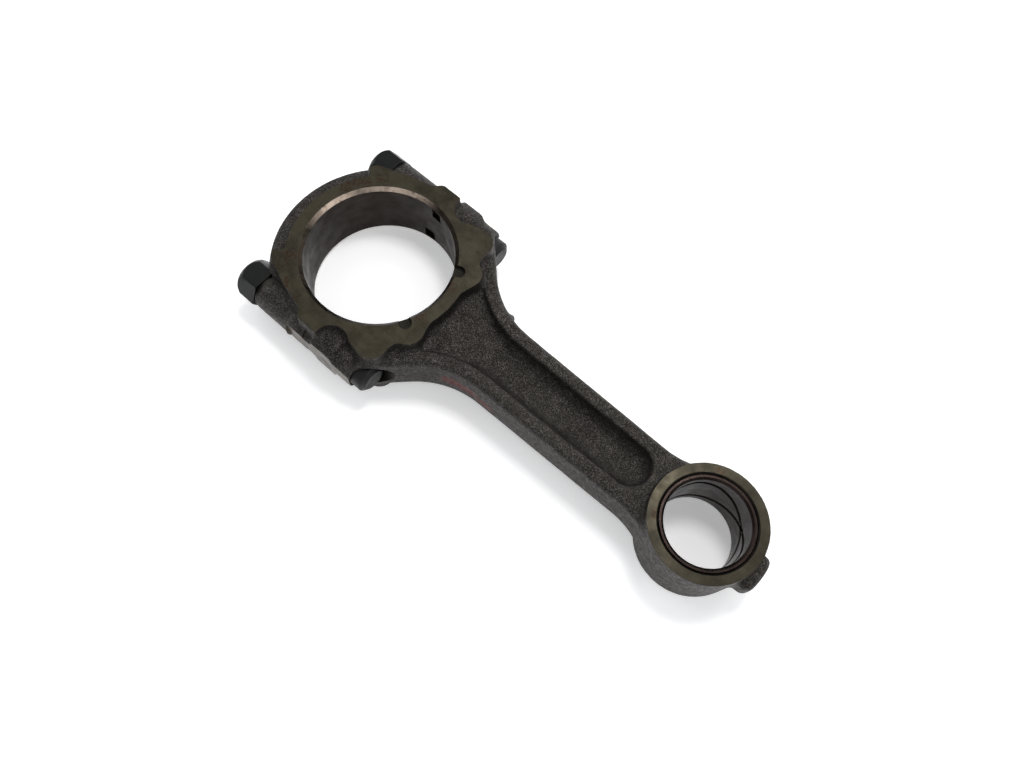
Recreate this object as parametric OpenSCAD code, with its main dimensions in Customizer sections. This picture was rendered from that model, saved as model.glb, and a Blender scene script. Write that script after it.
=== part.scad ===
// Connecting rod for a diesel engine: forged I-beam rod, bolted bearing cap and
// small-end bush, with fitted bolts, hard washers and nuts.
// Frame: origin at the centre of the big-end bore at mid-thickness, +Z along the
// bore, +X towards the small end, +Y to the left-hand bolt. All sizes in mm.

/* [Big end] */
// Diameter of the housing bore that grips the bearing shells
housing_bore_d = 73; // [62:0.5:90]
// Width of the machined thrust faces, face to face
big_end_w = 34; // [30:0.5:44]
// Chamfer at both edges of the housing bore
bore_chamfer = 1.8; // [0.5:0.1:2.5]
// Wall of the raised thrust ring around the bore
ring_wall = 8.5; // [7:0.1:11]
// Wall of the cap's forged crown behind the bore
crown_wall = 17.2; // [14:0.1:22]
// Width of the forged crown, less than the thrust faces
crown_w = 24.6; // [20:0.1:29]
// Width of the notch that keys a bearing shell's tang
tang_w = 6.6; // [4:0.1:8]
// Depth of the tang notch below the bore
tang_depth = 1.6; // [1:0.1:2.4]
// Distance from a tang notch's middle to the nearer thrust face
tang_inset = 6; // [5.2:0.1:8]
// Radius of the oil pockets in the thrust face
pocket_r = 3.1; // [2:0.1:3.6]
// Depth of the oil pockets
pocket_depth = 2.4; // [1:0.1:4]

/* [Bolts and nuts] */
// Diameter of the bolt's fitted shank and of its thread
bolt_d = 11; // [9:0.1:13.4]
// Wall left between the housing bore and a bolt hole
bolt_wall = 2.5; // [2.2:0.1:6]
// Distance from the joint face to the bolt head's seat on the rod
head_seat = 30; // [27:0.5:36]
// Distance from the joint face to the washer's seat on the cap
nut_seat = 32; // [27:0.5:39]
// Diameter of the round bolt head
head_d = 15.6; // [13.4:0.1:20]
// Height of the bolt head
head_h = 8; // [6:0.1:11]
// Bevel on the rim of the bolt head
head_bevel = 2; // [0.5:0.1:3]
// Outside diameter of the hard washer
washer_d = 18.6; // [17:0.1:22]
// Thickness of the washer
washer_t = 1.6; // [1:0.1:2.5]
// Nut width across flats
nut_af = 19; // [17:0.1:21]
// Nut height
nut_h = 13.4; // [9:0.1:17]
// Bevel at the outer end of the nut
nut_bevel = 2.4; // [0.5:0.1:3]
// Turn of the nuts from a flat level with the thrust faces, in degrees
nut_turn = 0; // [0:1:29]
// Wall of the cap's bolt boss outside the hole
cap_boss_wall = 4.2; // [3:0.1:5]
// Wall of the rod's bolt boss outside the hole
rod_boss_wall = 5.4; // [4:0.1:7]
// Distance from the bolt axis out to the machined flat on the boss's side
side_flat = 8.4; // [6.8:0.1:10]

/* [Shank] */
// Distance between the big-end and small-end bore centres
centre_distance = 195; // [175:1:240]
// Shank width next to the big end's flare
shank_w_big = 35.4; // [31:0.1:38]
// Shank width next to the small end
shank_w_small = 33; // [27:0.1:36]
// Thickness over the ribs
shank_t = 24; // [21:0.1:28]
// Thickness of the web at the bottom of the trough
web_t = 8; // [5:0.1:12]
// Width of the trough between the ribs
trough_w = 20.6; // [14:0.1:22]
// Rise of the trough's floor where it meets the big end's ring
ramp_rise = 5; // [2:0.5:10]
// Radius of the sweep from the flared shoulder into the shank
flare_r = 46; // [36:1:70]
// Radius of the sweep from the shank into the small end
neck_r = 36; // [25:1:50]

/* [Small end] */
// Wall of the small end around the bush
small_end_wall = 5.1; // [4:0.1:9]
// Width of the small end's machined faces, face to face
small_end_w = 34; // [30:0.5:44]
// Bore of the bush, for the piston pin
bush_bore_d = 38; // [31:0.1:46]
// Wall of the bush
bush_wall = 2.5; // [2:0.1:4]
// Chamfer at the edges of the bush and of its hole
bush_chamfer = 1; // [0.4:0.1:1.2]
// How far the bush's ends stop short of the faces
bush_recess = 0.4; // [0:0.1:1]
// Diameter of the oil hole through the small end and the bush
oil_hole_d = 3.5; // [2:0.1:5]
// Direction of the oil hole from the rod's axis, in degrees
oil_hole_angle = 45; // [30:1:60]
// Width of the balance pad at the tip
pad_w = 18.8; // [14:0.1:24]
// Thickness of the balance pad
pad_t = 13; // [8:0.5:20]
// How far the balance pad stands out from the small end
pad_out = 6.1; // [3:0.1:9]
// Radius of the small pip on the left flank
pip_r = 2.2; // [1:0.1:3]

/* [Fits] */
// Radial clearance of a bolt in its holes and of a nut on its bolt
bolt_fit = 0.05; // [0.02:0.01:0.1]
// Radial clearance of a washer on its bolt
washer_fit = 0.25; // [0.1:0.05:0.5]
// Radial room around a bolt head or a nut in its spotface
tool_room = 0.8; // [0.5:0.1:1.5]

/* [Hidden] */
$fn = 96;

steel_forged = "#4a4744";
steel_black = "#2b2d30";
steel_grey = "#5d5d60";
bronze = "#8c7569";

eps = 0.01;
far = 400;

bore_r = housing_bore_d / 2;
bolt_r = bolt_d / 2;
bolt_y = bore_r + bolt_wall + bolt_r;
ring_r = bore_r + ring_wall;
crown_r = bore_r + crown_wall;
cap_boss_r = bolt_r + cap_boss_wall;
rod_boss_r = bolt_r + rod_boss_wall;
cap_boss_step = 10;
tang_z = big_end_w / 2 - tang_inset;
nut_corner_r = nut_af / 2 / cos(30);
nut_base = nut_seat + washer_t;
bolt_tip = nut_base + nut_h - 0.6;
head_spot_r = head_d / 2 + tool_room;
nut_spot_r = max(nut_corner_r, washer_d / 2) + tool_room;

// Machined pads: the joint pads reach past the bolt axis, the lobes beside the bolt
// heads and beside the trough are rounds on the ring.
joint_pad_y = bolt_y + 5.3;
joint_pad_x = 9;
pad_corner = 4;
scallop_r = 8;
scallop_x = 16;
scallop_y = bolt_y + 3.3;
shoulder_lobe_r = 8;
shoulder_lobe = [head_seat + 1, bolt_y - 8.5];
inner_lobe_r = 7.8;
inner_lobe_a = 27.5;
inner_lobe_at = ring_r - 1.6;
ear_root = [-20, bolt_y - 2];
ear_top = [-nut_seat - 5.5, bolt_y - 8.2];
ear_tip_a = 141;
ear_tip_r = crown_r - 3.2;
boss_inner_y = bolt_y - 3.5;

// Flank of the rod: a 45-degree shoulder past the bolt head, then an arc into the shank.
shoulder_sum = head_seat + bolt_y + 5.2;
half_w_big = shank_w_big / 2;
half_w_small = shank_w_small / 2;
flare_x = shoulder_sum - half_w_big + flare_r * (sqrt(2) - 1);
bush_r = bush_bore_d / 2 + bush_wall;
small_r = bush_r + small_end_wall;
neck_x = centre_distance - sqrt(pow(small_r + neck_r, 2) - pow(half_w_small + neck_r, 2));

// Trough: a round-bottomed channel that ends in a bowl before the small end and
// opens into a flare whose floor rises towards the big end's ring.
trough_r = trough_w / 2;
trough_z = web_t / 2 + trough_r;
bowl_x = centre_distance - small_r - 4 - trough_r;
flare_rib = half_w_big - trough_r;
flare_floor_z = web_t / 2 + 0.8;
flare_end_x = flare_x - 4;
flare_mouth_x = ring_r + 0.5;
flare_mouth_a = 270 - asin((flare_x - flare_mouth_x) / (flare_r + flare_rib));
ramp_angle = atan(ramp_rise / (flare_end_x - ring_r));
pip_at = [flare_x - 15, half_w_big + 1.8, 7];

function arc(cx, cy, r, a0, a1, n) =
    [for (i = [0 : n]) [cx + r * cos(a0 + (a1 - a0) * i / n), cy + r * sin(a0 + (a1 - a0) * i / n)]];

module both_sides() {
    children();
    mirror([0, 1, 0]) children();
}

module both_faces() {
    children();
    mirror([0, 0, 1]) children();
}

// A round bar along X from x0 to x1 on a bolt's axis
module along_bolt(side, r, x0, x1) {
    translate([x0, side * bolt_y, 0]) rotate([0, 90, 0]) cylinder(h = x1 - x0, r = r);
}

// A bored hole along Z with a chamfer at both faces
module chamfered_hole(r, width, chamfer) {
    cylinder(h = width + 2, r = r, center = true);
    both_faces() {
        translate([0, 0, width / 2 - chamfer])
            cylinder(h = chamfer + 1, r1 = r, r2 = r + chamfer + 1);
    }
}

// Flank outline of the rod's shank and shoulder, from the joint face to the small end
module shank_outline() {
    half = concat(
        [[0, boss_inner_y], [head_seat, boss_inner_y], [head_seat, shoulder_sum - head_seat]],
        arc(flare_x, half_w_big + flare_r, flare_r, 225, 270, 14),
        arc(neck_x, half_w_small + neck_r, neck_r, 270,
            270 + acos((half_w_small + neck_r) / (small_r + neck_r)), 10),
        [[centre_distance, small_r]]);
    polygon(concat(half, [for (i = [len(half) - 1 : -1 : 0]) [half[i][0], -half[i][1]]]));
}

// Machined thrust face of the rod's half of the big end
module rod_face_outline() {
    difference() {
        union() {
            circle(r = ring_r);
            both_sides() {
                square([joint_pad_x, joint_pad_y]);
                polygon([[0, 0], [joint_pad_x, joint_pad_y], shoulder_lobe + [-4, 6.9],
                         shoulder_lobe + [6.9, 4], inner_lobe_at * [cos(inner_lobe_a), sin(inner_lobe_a)]]);
                translate(shoulder_lobe) circle(r = shoulder_lobe_r);
                rotate(inner_lobe_a) translate([inner_lobe_at, 0]) circle(r = inner_lobe_r);
            }
        }
        translate([-far, -far / 2]) square([far, far]);
        both_sides() translate([scallop_x, scallop_y]) circle(r = scallop_r);
        both_sides() translate([scallop_x, scallop_y]) square([far, far]);
    }
}

// Machined thrust face of the cap: the ring, the joint pads and an ear over each nut
module cap_face_outline() {
    difference() {
        union() {
            circle(r = ring_r);
            both_sides() polygon([[0, 0], [0, joint_pad_y], [-pad_corner, joint_pad_y],
                                  [-2 * pad_corner, bolt_y + 1], ear_root, ear_top,
                                  ear_tip_r * [cos(ear_tip_a), sin(ear_tip_a)],
                                  ring_r * [cos(ear_tip_a), sin(ear_tip_a)]]);
        }
        translate([0, -far / 2]) square([far, far]);
    }
}

// Boss around a bolt with the machined flat on its outer side
module flatted_boss(side, x0, x1) {
    intersection() {
        along_bolt(side, rod_boss_r, x0, x1);
        translate([x0, -bolt_y - side_flat, -rod_boss_r])
            cube([x1 - x0, 2 * (bolt_y + side_flat), 2 * rod_boss_r]);
    }
}

// Notch in the bore wall for a shell's tang, on one side of the joint face
module tang_notch(x0, x1, z_mid) {
    translate([x0, bore_r - 4, z_mid - tang_w / 2]) cube([x1 - x0, 4 + tang_depth, tang_w]);
}

// Trough and flare on the +Z face of the shank
module trough() {
    translate([flare_end_x - 1, 0, trough_z]) rotate([0, 90, 0])
        cylinder(h = bowl_x - flare_end_x + 1, r = trough_r);
    translate([bowl_x, 0, trough_z]) sphere(r = trough_r);
    intersection() {
        translate([0, 0, web_t / 2]) linear_extrude(height = far / 10) both_sides()
            polygon(concat([[flare_end_x, -eps], [flare_mouth_x, -eps]],
                           arc(flare_x, half_w_big + flare_r, flare_r + flare_rib, flare_mouth_a, 262, 12),
                           [[flare_end_x, trough_r - 2.5]]));
        translate([flare_end_x, 0, flare_floor_z]) rotate([0, ramp_angle, 0])
            translate([-far / 4, -far / 4, 0]) cube([far / 2, far / 2, far / 4]);
    }
}

module rod_body() {
    color(steel_forged) difference() {
        union() {
            linear_extrude(height = shank_t, center = true) shank_outline();
            linear_extrude(height = big_end_w, center = true) rod_face_outline();
            for (side = [-1, 1]) flatted_boss(side, 0, head_seat);
            translate([centre_distance, 0, 0]) cylinder(h = small_end_w, r = small_r, center = true);
            translate([centre_distance, 0, 0]) intersection() {
                cylinder(h = pad_t, r = small_r + pad_out, center = true);
                translate([0, -pad_w / 2, -pad_t]) cube([far, pad_w, 2 * pad_t]);
            }
            translate(pip_at) sphere(r = pip_r);
        }
        both_faces() trough();
        chamfered_hole(bore_r, big_end_w, bore_chamfer);
        translate([centre_distance, 0, 0]) chamfered_hole(bush_r, small_end_w, bush_chamfer);
        translate([centre_distance, 0, 0]) rotate([0, 90, oil_hole_angle])
            cylinder(h = 2 * small_r, d = oil_hole_d, $fn = 32);
        for (side = [-1, 1]) {
            along_bolt(side, bolt_r + bolt_fit, -1, head_seat + 1);
            along_bolt(side, head_spot_r, head_seat, far);
        }
        both_faces() both_sides() rotate(inner_lobe_a)
            translate([bore_r + pocket_r, 0, big_end_w / 2 - pocket_depth]) {
                cylinder(h = far, r = pocket_r, $fn = 48);
                translate([-2 * pocket_r, -pocket_r, 0]) cube([2 * pocket_r, 2 * pocket_r, far]);
            }
        tang_notch(-1, 6, tang_z);
    }
}

module bearing_cap() {
    color(steel_forged) difference() {
        union() {
            linear_extrude(height = crown_w, center = true) intersection() {
                circle(r = crown_r);
                translate([-far, -boss_inner_y]) square([far, 2 * boss_inner_y]);
            }
            linear_extrude(height = big_end_w, center = true) cap_face_outline();
            for (side = [-1, 1]) {
                along_bolt(side, cap_boss_r, -nut_seat, 0);
                flatted_boss(side, -cap_boss_step, 0);
            }
        }
        chamfered_hole(bore_r, big_end_w, bore_chamfer);
        for (side = [-1, 1]) {
            along_bolt(side, bolt_r + bolt_fit, -nut_seat - 1, 1);
            along_bolt(side, nut_spot_r, -far, -nut_seat);
        }
        tang_notch(-6, 1, -tang_z);
    }
}

module small_end_bush() {
    bush_l = small_end_w - 2 * bush_recess;
    color(bronze) translate([centre_distance, 0, 0]) difference() {
        rotate_extrude() polygon([
            [bush_bore_d / 2 - eps, -bush_l / 2], [bush_r - bush_chamfer / 2, -bush_l / 2],
            [bush_r, -bush_l / 2 + bush_chamfer], [bush_r, bush_l / 2 - bush_chamfer],
            [bush_r - bush_chamfer / 2, bush_l / 2], [bush_bore_d / 2 - eps, bush_l / 2]]);
        chamfered_hole(bush_bore_d / 2, bush_l, bush_chamfer);
        rotate([0, 90, oil_hole_angle]) cylinder(h = 2 * small_r, d = oil_hole_d, $fn = 32);
    }
}

// Fitted bolt: round head with a bevelled rim, ground shank and thread in one bar
module cap_bolt(side) {
    translate([0, side * bolt_y, 0]) rotate([0, 90, 0]) rotate_extrude() polygon([
        [0, -bolt_tip], [bolt_r - 1, -bolt_tip], [bolt_r, -bolt_tip + 1],
        [bolt_r, head_seat], [head_d / 2, head_seat], [head_d / 2, head_seat + head_h - head_bevel],
        [head_d / 2 - head_bevel, head_seat + head_h], [0, head_seat + head_h]]);
}

module washer(side) {
    color(steel_grey) difference() {
        along_bolt(side, washer_d / 2, -nut_base, -nut_seat);
        along_bolt(side, bolt_r + washer_fit, -nut_base - 1, -nut_seat + 1);
    }
}

// Hexagon nut bevelled at its outer end, a flat level with the thrust faces before nut_turn
module cap_nut(side) {
    color(steel_black) translate([0, side * bolt_y, 0]) rotate([30 + nut_turn, 0, 0])
        rotate([0, -90, 0]) difference() {
            intersection() {
                translate([0, 0, nut_base]) cylinder(h = nut_h, r = nut_corner_r, $fn = 6);
                translate([0, 0, nut_base]) cylinder(h = nut_h, r1 = nut_corner_r + nut_h,
                                                     r2 = nut_corner_r - nut_bevel);
            }
            translate([0, 0, nut_base - 1]) cylinder(h = nut_h + 2, r = bolt_r + bolt_fit);
        }
}

module bolt_left() { color(steel_grey) cap_bolt(1); }
module bolt_right() { color(steel_grey) cap_bolt(-1); }
module washer_left() { washer(1); }
module washer_right() { washer(-1); }
module nut_left() { cap_nut(1); }
module nut_right() { cap_nut(-1); }

rod_body();
bearing_cap();
small_end_bush();
bolt_left();
bolt_right();
washer_left();
washer_right();
nut_left();
nut_right();
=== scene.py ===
from math import acos, asin, atan, cos, degrees, pi, radians, sin, sqrt

import bmesh
import bpy
from mathutils import Matrix, Vector


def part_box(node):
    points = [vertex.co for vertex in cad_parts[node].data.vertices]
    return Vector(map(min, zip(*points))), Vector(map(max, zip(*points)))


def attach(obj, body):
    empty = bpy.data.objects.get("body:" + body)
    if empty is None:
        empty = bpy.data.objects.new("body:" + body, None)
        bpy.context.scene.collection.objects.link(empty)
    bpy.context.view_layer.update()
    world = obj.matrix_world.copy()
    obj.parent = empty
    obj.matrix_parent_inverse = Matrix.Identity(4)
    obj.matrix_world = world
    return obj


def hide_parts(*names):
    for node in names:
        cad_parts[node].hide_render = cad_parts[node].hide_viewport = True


bl_info = {
    "name": "Connecting rod",
    "version": (1, 0, 0),
    "blender": (4, 5, 0),
    "location": "View3D > Sidebar > Connecting rod",
    "description": "Makes a forged connecting rod with its cap, bush, bolts, washers and nuts",
    "category": "Add Mesh",
}

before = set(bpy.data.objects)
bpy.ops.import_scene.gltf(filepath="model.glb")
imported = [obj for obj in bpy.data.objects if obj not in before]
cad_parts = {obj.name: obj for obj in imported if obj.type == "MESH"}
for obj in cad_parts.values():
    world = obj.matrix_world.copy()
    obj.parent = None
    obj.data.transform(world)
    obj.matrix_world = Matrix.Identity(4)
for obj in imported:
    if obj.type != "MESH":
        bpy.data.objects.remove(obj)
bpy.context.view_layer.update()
MM = 0.001
SIDES = ((1, "left"), (-1, "right"))

# Sizes that several pieces share, in millimetres
BOLT_HOLE_R = 5.55
BORE_CHAMFER = 1.8
STOCK = 18.3  # mid-plane to a thrust pad before it is ground
PAD_OUT = 5.4  # bolt axis to the outside of the joint pad
BOSS_IN = 3.5  # bolt axis to where a bolt boss meets the body
BEYOND = 80  # how far a cutter reaches past the rod, so that it cuts right through
OIL_HOLE_TURN = radians(45)

# The sockets of a colour mix node
MIX_FACTOR, MIX_A, MIX_B, MIX_RESULT = 0, 6, 7, 2
# The sockets of a map range node
MAP_VALUE, MAP_LOW, MAP_HIGH, MAP_BOTTOM, MAP_TOP = range(5)

# The rod's and the cap's material slots
FORGED, GROUND, BORED, BRIGHT, DRILLED, JOINT = range(6)


def middle(node, axis):
    """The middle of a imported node's box along one axis"""
    low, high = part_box(node)
    return (low[axis] + high[axis]) / 2


def high_end(node, axis):
    """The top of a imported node's box along one axis"""
    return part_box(node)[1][axis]


def low_end(node, axis):
    """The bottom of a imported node's box along one axis"""
    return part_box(node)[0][axis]


def linear(text):
    """Turn an sRGB hex value into the linear colour that shaders take"""
    parts = [int(text[i : i + 2], 16) / 255 for i in (1, 3, 5)]
    return tuple(p / 12.92 if p <= 0.04045 else ((p + 0.055) / 1.055) ** 2.4 for p in parts)


def length(name, description, default):
    """A setting in metres"""
    return bpy.props.FloatProperty(
        name=name, description=description, default=default, unit="LENGTH", precision=5, min=0.0
    )


def colour(name, description, default):
    """A colour setting, from an sRGB hex value"""
    return bpy.props.FloatVectorProperty(
        name=name, description=description, default=linear(default), subtype="COLOR", min=0, max=1
    )


class RodSizes(bpy.types.PropertyGroup):
    """Sizes of the rod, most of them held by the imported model"""

    face: length("Thrust face height", "Mid-plane to a machined face", high_end("rod_body", 2))
    bolt_y: length("Bolt offset", "Rod axis to a bolt axis", middle("bolt_left", 1))
    pin_x: length("Centre distance", "Big-end centre to pin centre", middle("small_end_bush", 0))
    bush_r: length("Bush radius", "Outside radius of the bush", high_end("small_end_bush", 1))
    bush_half: length("Bush half length", "Mid-plane to a bush end", high_end("small_end_bush", 2))
    flat_y: length("Boss flat", "Rod axis to the flat on a bolt boss", high_end("rod_body", 1))
    tip_x: length("Tip pad", "Big-end centre to the tip pad's end", high_end("rod_body", 0))
    head_top: length("Head top", "Joint face to a bolt head's top", high_end("bolt_left", 0))
    bolt_tip: length("Bolt tip", "Joint face to a bolt's tip", -low_end("bolt_left", 0))
    washer_r: length("Washer radius", "Outside radius", high_end("washer_left", 2))
    seat_x: length("Nut seat", "Joint face to a washer", -high_end("washer_left", 0))
    nut_x: length("Nut base", "Joint face to a nut's base", -high_end("nut_left", 0))
    nut_end: length("Nut end", "Joint face to a nut's outer end", -low_end("nut_left", 0))
    bore_r: length("Housing bore", "Radius of the big-end bore", 36.5 * MM)
    ring_r: length("Thrust ring", "Outside radius of the raised ring", 45 * MM)
    crown_r: length("Crown", "Outside radius of the cap's crown", 53.5 * MM)
    pin_r: length("Bush bore", "Radius of the bush's bore", 19 * MM)
    small_r: length("Small end", "Outside radius of the small end", 26.6 * MM)
    bolt_r: length("Bolt radius", "Radius of the fitted shank", 5.5 * MM)
    head_seat: length("Head seat", "Joint face to the head's seat", 30 * MM)
    head_r: length("Head radius", "Radius of the bolt head", 7.8 * MM)
    nut_flats: length("Nut flats", "Width across the flats", 19 * MM)
    pitch: length("Thread pitch", "Advance of the thread in one turn", 1.25 * MM)
    groove: length("Oil groove", "Half width of a groove in the bush", 1.25 * MM)
    grain: length("Forging grain", "Edge length of the forging's mesh", 0.85 * MM)
    nut_turn: bpy.props.FloatProperty(
        name="Nut turn", description="Turn of the nuts from level", default=0.0, unit="ROTATION"
    )


class RodColours(bpy.types.PropertyGroup):
    """Colours of the finishes"""

    forging: colour("Forging", "Shot-blasted steel, oiled", "#211f1b")
    forging_brown: colour("Forging stain", "Old oil baked into the forging", "#15110e")
    # Painted highlight colour: laid on scattered blasted facets as if they caught the lamps
    painted_facet_highlight: colour("Sparkle", "Blasted facets that catch the light", "#8a8380")
    ground: colour("Ground face", "Ground steel under a film of oil", "#39352a")
    # Used for real stains on the ground faces, and also as painted shade on the bore chamfer's
    # side towards the shank
    ground_stain_and_shade: colour("Ground stain", "Stains on the ground faces", "#1e1b13")
    flat: colour("Flat", "Milled flats and joint faces", "#6b635a")
    rust: colour("Rust", "Rust spots", "#2b170b")
    bore: colour("Bore", "Honed bore, browned by heat", "#261e1b")
    edge: colour("Edge", "Bright chamfer", "#a8988a")
    bronze: colour("Bush", "Worn bronze", "#261e1b")
    black: colour("Nut", "Black oxide", "#070808")
    bolt: colour("Bolt", "Phosphated steel", "#242425")
    washer: colour("Washer", "Hardened steel", "#302e29")
    paint: colour("Paint", "Faded inspection paint", "#5e2c2a")
    floor: colour("Floor", "Pale matt floor", "#fafafa")


# Outlines, in millimetres


def arc(centre, radius, start, end, count):
    """Points along an arc, both ends included"""
    angles = [radians(start + (end - start) * i / count) for i in range(count + 1)]
    return [(centre[0] + radius * cos(a), centre[1] + radius * sin(a)) for a in angles]


def both_sides(half):
    """Close a half outline, drawn at positive Y, with its mirror image"""
    return half + [(x, -y) for x, y in reversed(half) if y > 1e-6]


def round_over(rise, lean, radius, count=4):
    """Steps of (rise, inset) for a wall with draft that ends in a round edge"""
    steps = [(rise - radius, lean)]
    for i in range(count):
        low, high = (radians(90 * k / count) for k in (i, i + 1))
        steps.append((radius * (sin(high) - sin(low)), radius * (cos(low) - cos(high))))
    return steps


# Solids, in metres


def start_face(bm, outline, height=0.0, up=True):
    """A flat face inside an outline, facing up or down"""
    corners = [bm.verts.new((x * MM, y * MM, height * MM)) for x, y in outline]
    edges = [bm.edges.new(pair) for pair in zip(corners, corners[1:] + corners[:1])]
    face = bmesh.ops.edgeloop_fill(bm, edges=edges)["faces"][0]
    face.normal_update()
    if (face.normal.z > 0) != up:
        face.normal_flip()
    return face


def step_up(bm, face, steps, keep=False):
    """Raise a face along its normal through steps of (rise, inset)"""
    for rise, inset in steps:
        region = [face, *face.edges, *face.verts]
        new = bmesh.ops.extrude_face_region(bm, geom=region, use_keep_orig=keep)["geom"]
        face = next(g for g in new if isinstance(g, bmesh.types.BMFace))
        face.normal_update()
        keep, up, moves = False, face.normal.copy(), []
        at = [v.co.copy() for v in face.verts]
        for before, here, after in zip(at[-1:] + at, at, at[1:] + at[:1]):
            a, b = up.cross(here - before).normalized(), up.cross(after - here).normalized()
            moves.append((a + b) / (1 + a.dot(b)) * inset * MM + up * rise * MM)
        for vert, move in zip(face.verts, moves):
            vert.co += move


def die_half(outline, steps):
    """A forged shape, drawn on the parting plane, raised above it and mirrored below it"""
    bm = bmesh.new()
    base = start_face(bm, outline)
    step_up(bm, base, steps)
    bmesh.ops.delete(bm, geom=[base], context="FACES_ONLY")
    bmesh.ops.mirror(bm, geom=bm.verts[:] + bm.edges[:] + bm.faces[:], axis="Z", merge_dist=1e-6)
    bmesh.ops.remove_doubles(bm, verts=bm.verts[:], dist=1e-6)
    bmesh.ops.recalc_face_normals(bm, faces=bm.faces[:])
    return bm


def stamp(outline, top, steps, below):
    """A punch that reaches down from a height, or up from below, through steps of (drop, inset)"""
    bm = bmesh.new()
    side = -1 if below else 1
    step_up(bm, start_face(bm, outline, side * top, below), steps, keep=True)
    bmesh.ops.recalc_face_normals(bm, faces=bm.faces[:])
    return bm


def block(low, high):
    """A block between two corners, in millimetres"""
    bm = bmesh.new()
    bmesh.ops.create_cube(bm, size=1.0)
    size = [(b - a) * MM for a, b in zip(low, high)]
    centre = [(a + b) / 2 * MM for a, b in zip(low, high)]
    bmesh.ops.scale(bm, vec=size, verts=bm.verts[:])
    bmesh.ops.translate(bm, vec=centre, verts=bm.verts[:])
    return bm


def turned(profile, steps=128):
    """A solid turned about Z from (radius, height) points in millimetres"""
    bm = bmesh.new()
    points = [bm.verts.new((r * MM, 0, z * MM)) for r, z in profile]
    edges = [bm.edges.new(pair) for pair in zip(points, points[1:])]
    if profile[0][0] > 1e-9:
        edges.append(bm.edges.new((points[-1], points[0])))
    bmesh.ops.spin(
        bm,
        geom=points + edges,
        cent=(0, 0, 0),
        axis=(0, 0, 1),
        angle=2 * pi,
        steps=steps,
        use_merge=True,
    )
    bmesh.ops.remove_doubles(bm, verts=bm.verts[:], dist=1e-7)
    bmesh.ops.dissolve_degenerate(bm, edges=bm.edges[:], dist=1e-8)
    bmesh.ops.recalc_face_normals(bm, faces=bm.faces[:])
    return bm


def along_x(bm, x=0.0, y=0.0, turn=0.0):
    """Lay a shape turned about Z along +X, on a bolt's axis"""
    laid = Matrix.Rotation(turn, 4, "X") @ Matrix.Rotation(pi / 2, 4, "Y")
    place = Matrix.Translation((x * MM, y * MM, 0)) @ laid
    bmesh.ops.transform(bm, matrix=place, verts=bm.verts[:])
    return bm


def bar(radius, x0, x1, y, steps=64):
    """A round bar along X"""
    return along_x(turned([(0, x0), (radius, x0), (radius, x1), (0, x1)], steps), 0, y)


def moved(bm, x=0.0, y=0.0, z=0.0, turn=0.0):
    """Turn a shape about Z, then move it in millimetres"""
    place = Matrix.Translation((x * MM, y * MM, z * MM)) @ Matrix.Rotation(turn, 4, "Z")
    bmesh.ops.transform(bm, matrix=place, verts=bm.verts[:])
    return bm


def joined(parts):
    """One bmesh that holds several closed shapes"""
    whole = bmesh.new()
    for part in parts:
        mesh = bpy.data.meshes.new("part")
        part.to_mesh(mesh)
        part.free()
        whole.from_mesh(mesh)
        bpy.data.meshes.remove(mesh)
    return whole


def piece_from(bm, name, materials):
    """Make an object of a bmesh, and free the bmesh"""
    mesh = bpy.data.meshes.new(name)
    bm.to_mesh(mesh)
    bm.free()
    for material in materials:
        mesh.materials.append(material)
    piece = bpy.data.objects.new(name, mesh)
    bpy.context.scene.collection.objects.link(piece)
    return piece


def apply_modifiers(piece):
    """Make the modifiers' result the piece's own mesh"""
    graph = bpy.context.evaluated_depsgraph_get()
    graph.update()
    old = piece.data
    piece.data = bpy.data.meshes.new_from_object(piece.evaluated_get(graph))
    piece.modifiers.clear()
    name = old.name
    bpy.data.meshes.remove(old)
    piece.data.name = name


def machine(piece, bm, slot=0, bevel_slot=None, operation="DIFFERENCE"):
    """Cut a shape out of a piece, so that the new faces take a material slot"""
    bm.normal_update()
    for face in bm.faces:
        steep = 0.1 < abs(face.normal.z) < 0.9
        face.material_index = bevel_slot if bevel_slot is not None and steep else slot
    tool = piece_from(bm, "tool", piece.data.materials)
    cut = piece.modifiers.new("cut", "BOOLEAN")
    cut.operation = operation
    cut.solver = "MANIFOLD"
    cut.object = tool
    apply_modifiers(piece)
    mesh = tool.data
    bpy.data.objects.remove(tool)
    bpy.data.meshes.remove(mesh)
    if len(piece.data.polygons) == 0:
        raise RuntimeError("a cut left nothing of " + piece.name)


def forge(piece, grain):
    """Melt overlapping shapes into one forging, with round corners and a hammered skin"""
    rounds, hammer_marks, depth = 12, 7, 0.12
    melt = piece.modifiers.new("melt", "REMESH")
    melt.mode = "VOXEL"
    melt.voxel_size = grain
    soften = piece.modifiers.new("soften", "SMOOTH")
    soften.factor = 0.5
    soften.iterations = rounds
    skin = bpy.data.textures.new("skin", "CLOUDS")
    skin.noise_scale = hammer_marks * MM
    skin.noise_depth = 2
    uneven = piece.modifiers.new("uneven", "DISPLACE")
    uneven.texture = skin
    uneven.texture_coords = "LOCAL"
    uneven.strength = depth * MM
    uneven.mid_level = 0.75
    apply_modifiers(piece)


def finish_edges(piece, soft_slots=(), angle=32):
    """Smooth shading, broken where a machined face meets another face"""
    bm = bmesh.new()
    bm.from_mesh(piece.data)
    for face in bm.faces:
        face.smooth = True
    for edge in bm.edges:
        if len(edge.link_faces) != 2:
            edge.smooth = False
            continue
        a, b = (face.material_index for face in edge.link_faces)
        both_soft = a in soft_slots and b in soft_slots
        same = a == b and edge.calc_face_angle(0) < radians(angle)
        edge.smooth = both_soft or same
    bm.to_mesh(piece.data)
    bm.free()


def place_in_frame(piece, body, slot, *nodes):
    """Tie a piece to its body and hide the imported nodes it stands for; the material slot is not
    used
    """
    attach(piece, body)
    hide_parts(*nodes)


# Materials


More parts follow.
